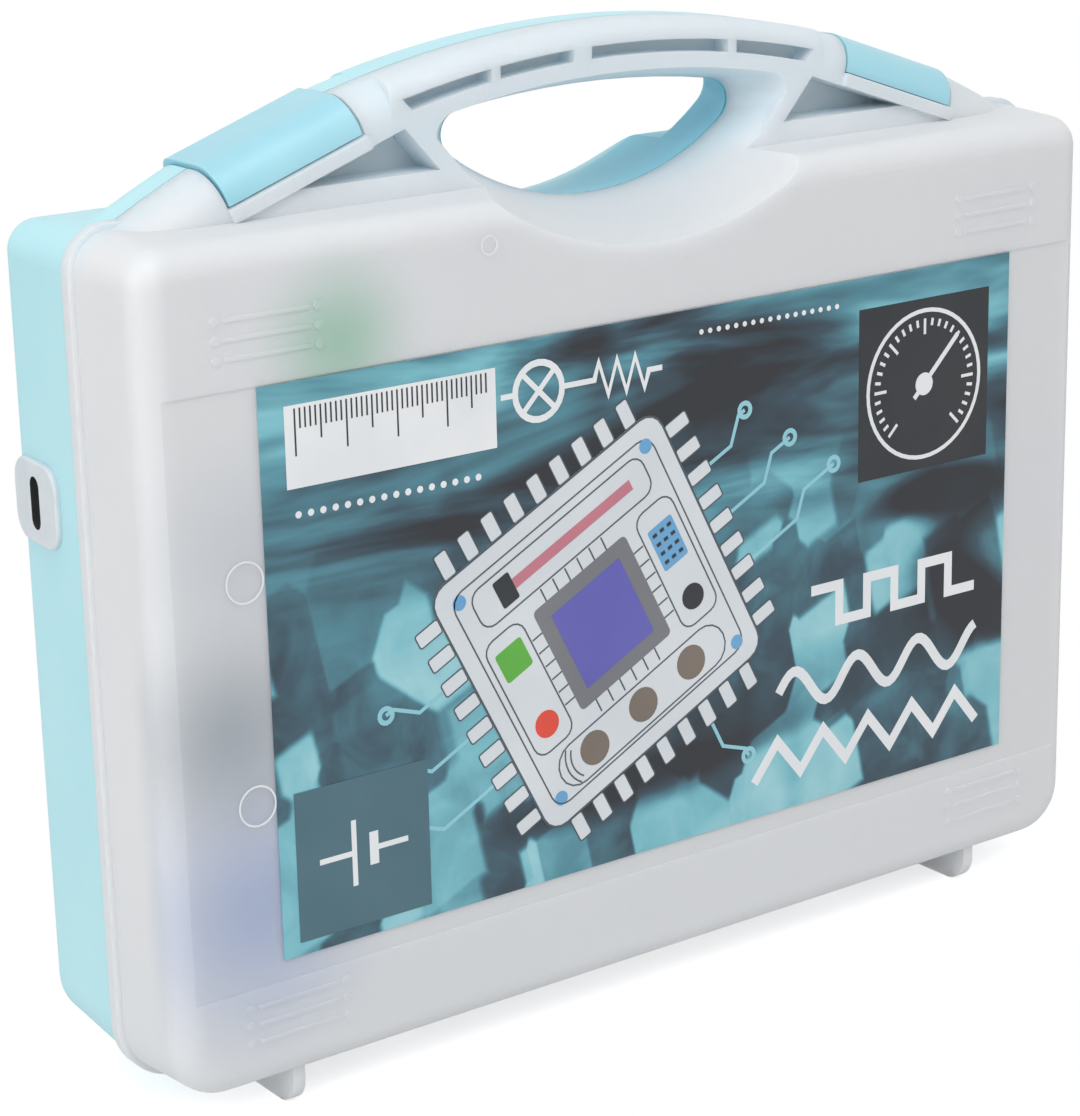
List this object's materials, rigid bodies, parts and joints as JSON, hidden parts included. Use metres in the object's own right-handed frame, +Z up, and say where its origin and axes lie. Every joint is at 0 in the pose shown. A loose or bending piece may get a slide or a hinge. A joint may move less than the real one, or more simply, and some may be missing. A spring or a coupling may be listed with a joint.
{
  "type": "microcontroller experiment kit",
  "caption": "Hinged carrying case with a frosted lid and side latches that holds a board of electronic sensors, displays and actuators for classroom experiments.",
  "frame": {"origin": "on the ground under the middle of the case, standing on its four fin feet with the handle up", "axes": "+X to the right as seen from the lid, -Y towards the lid, +Z up towards the handle"},
  "size_m": [0.2116, 0.0482, 0.1792],
  "materials": {
    "case_cyan": "satin translucent moulded plastic",
    "lid_frosted": "frosted translucent moulded plastic",
    "latch_cyan": "satin moulded plastic",
    "printed_label": "printed film",
    "grommet_frosted": "frosted moulded plastic",
    "plated_steel": "plated sheet metal",
    "black_plastic": "matt moulded plastic",
    "controller_blue": "solder mask",
    "white_board": "white solder mask with fine tracks",
    "frame_white": "matt moulded plastic",
    "blue_screw": "anodised",
    "steel_screw": "zinc plated",
    "bezel_black": "matt painted sheet metal",
    "display_blue": "backlit glass",
    "module_blue": "solder mask",
    "can_metal": "drawn can",
    "dark_mesh": "woven mesh",
    "servo_blue": "translucent blue moulded plastic",
    "white_plastic": "moulded plastic",
    "slide_grey": "pressed sheet metal",
    "button_green": "moulded plastic",
    "lamp_red": "tinted resin",
    "dome_white": "frosted lens plastic",
    "relay_blue": "moulded plastic",
    "module_teal": "solder mask",
    "terminal_green": "moulded plastic",
    "sensor_blue": "moulded plastic",
    "copper_pad": "gold plated copper",
    "sensor_amber": "resin coated ceramic",
    "connector_white": "moulded plastic"
  },
  "bodies": {
    "case": {"base_shell": "case_cyan", "usb_grommet": "grommet_frosted", "usb_receptacle": "plated_steel", "usb_tongue": "black_plastic", "controller_board": "controller_blue", "controller_chip": "black_plastic", "controller_sockets": "black_plastic", "controller_screws": "steel_screw", "reset_button": "steel_screw", "mounting_frame": "frame_white", "main_board": "white_board", "panel_screws": "blue_screw", "display_board": "module_teal", "display_bezel": "bezel_black", "display_glass": "display_blue", "display_header": "black_plastic", "sonic_board": "module_blue", "sonic_cans": "can_metal", "sonic_meshes": "dark_mesh", "sonic_header": "black_plastic", "servo_body": "servo_blue", "servo_screws": "steel_screw", "slide_body": "slide_grey", "button_housing": "black_plastic", "indicator_light": "lamp_red", "sound_sensor": "can_metal", "infrared_receiver": "black_plastic", "motion_base": "white_plastic", "motion_dome": "dome_white", "buzzer": "black_plastic", "relay": "relay_blue", "relay_board": "module_teal", "relay_terminal": "terminal_green", "terminal_screws": "steel_screw", "climate_sensor": "sensor_blue", "touch_pad": "copper_pad", "light_sensor": "sensor_amber", "module_connectors": "connector_white"},
    "lid": {"lid_shell": "lid_frosted", "front_label": "printed_label"},
    "latch_left": {"latch_left": "latch_cyan"},
    "latch_right": {"latch_right": "latch_cyan"},
    "horn": {"servo_horn": "white_plastic"},
    "slider": {"slide_lever": "steel_screw", "slide_cap": "black_plastic"},
    "button": {"button_cap": "button_green"},
    "reset": {"reset_cap": "black_plastic"}
  },
  "joints": [
    {"name": "lid_hinge", "type": "hinge", "parent": "case", "child": "lid", "pos_m": [0, -0.0029, 0.0027], "axis": [1, 0, 0], "range_deg": [0, 170]},
    {"name": "latch_left_hinge", "type": "hinge", "parent": "case", "child": "latch_left", "pos_m": [-0.06752, 0.0036, 0.1644], "axis": [-0.9455, 0, -0.3256], "range_deg": [0, 90]},
    {"name": "latch_right_hinge", "type": "hinge", "parent": "case", "child": "latch_right", "pos_m": [0.06752, 0.0036, 0.1644], "axis": [-0.9455, 0, 0.3256], "range_deg": [0, 90]},
    {"name": "servo_turn", "type": "hinge", "parent": "case", "child": "horn", "pos_m": [-0.067, -0.0159, 0.037], "axis": [0, -1, 0], "range_deg": [-90, 90]},
    {"name": "slider_travel", "type": "slide", "parent": "case", "child": "slider", "axis": [1, 0, 0], "range_m": [-0.03, 0]},
    {"name": "button_press", "type": "slide", "parent": "case", "child": "button", "axis": [0, 1, 0], "range_m": [0, 0.00035], "stiffness_N_per_m": 500, "springref_m": -0.001},
    {"name": "reset_press", "type": "slide", "parent": "case", "child": "reset", "axis": [0, 1, 0], "range_m": [0, 0.00025], "stiffness_N_per_m": 400, "springref_m": -0.001}
  ]
}
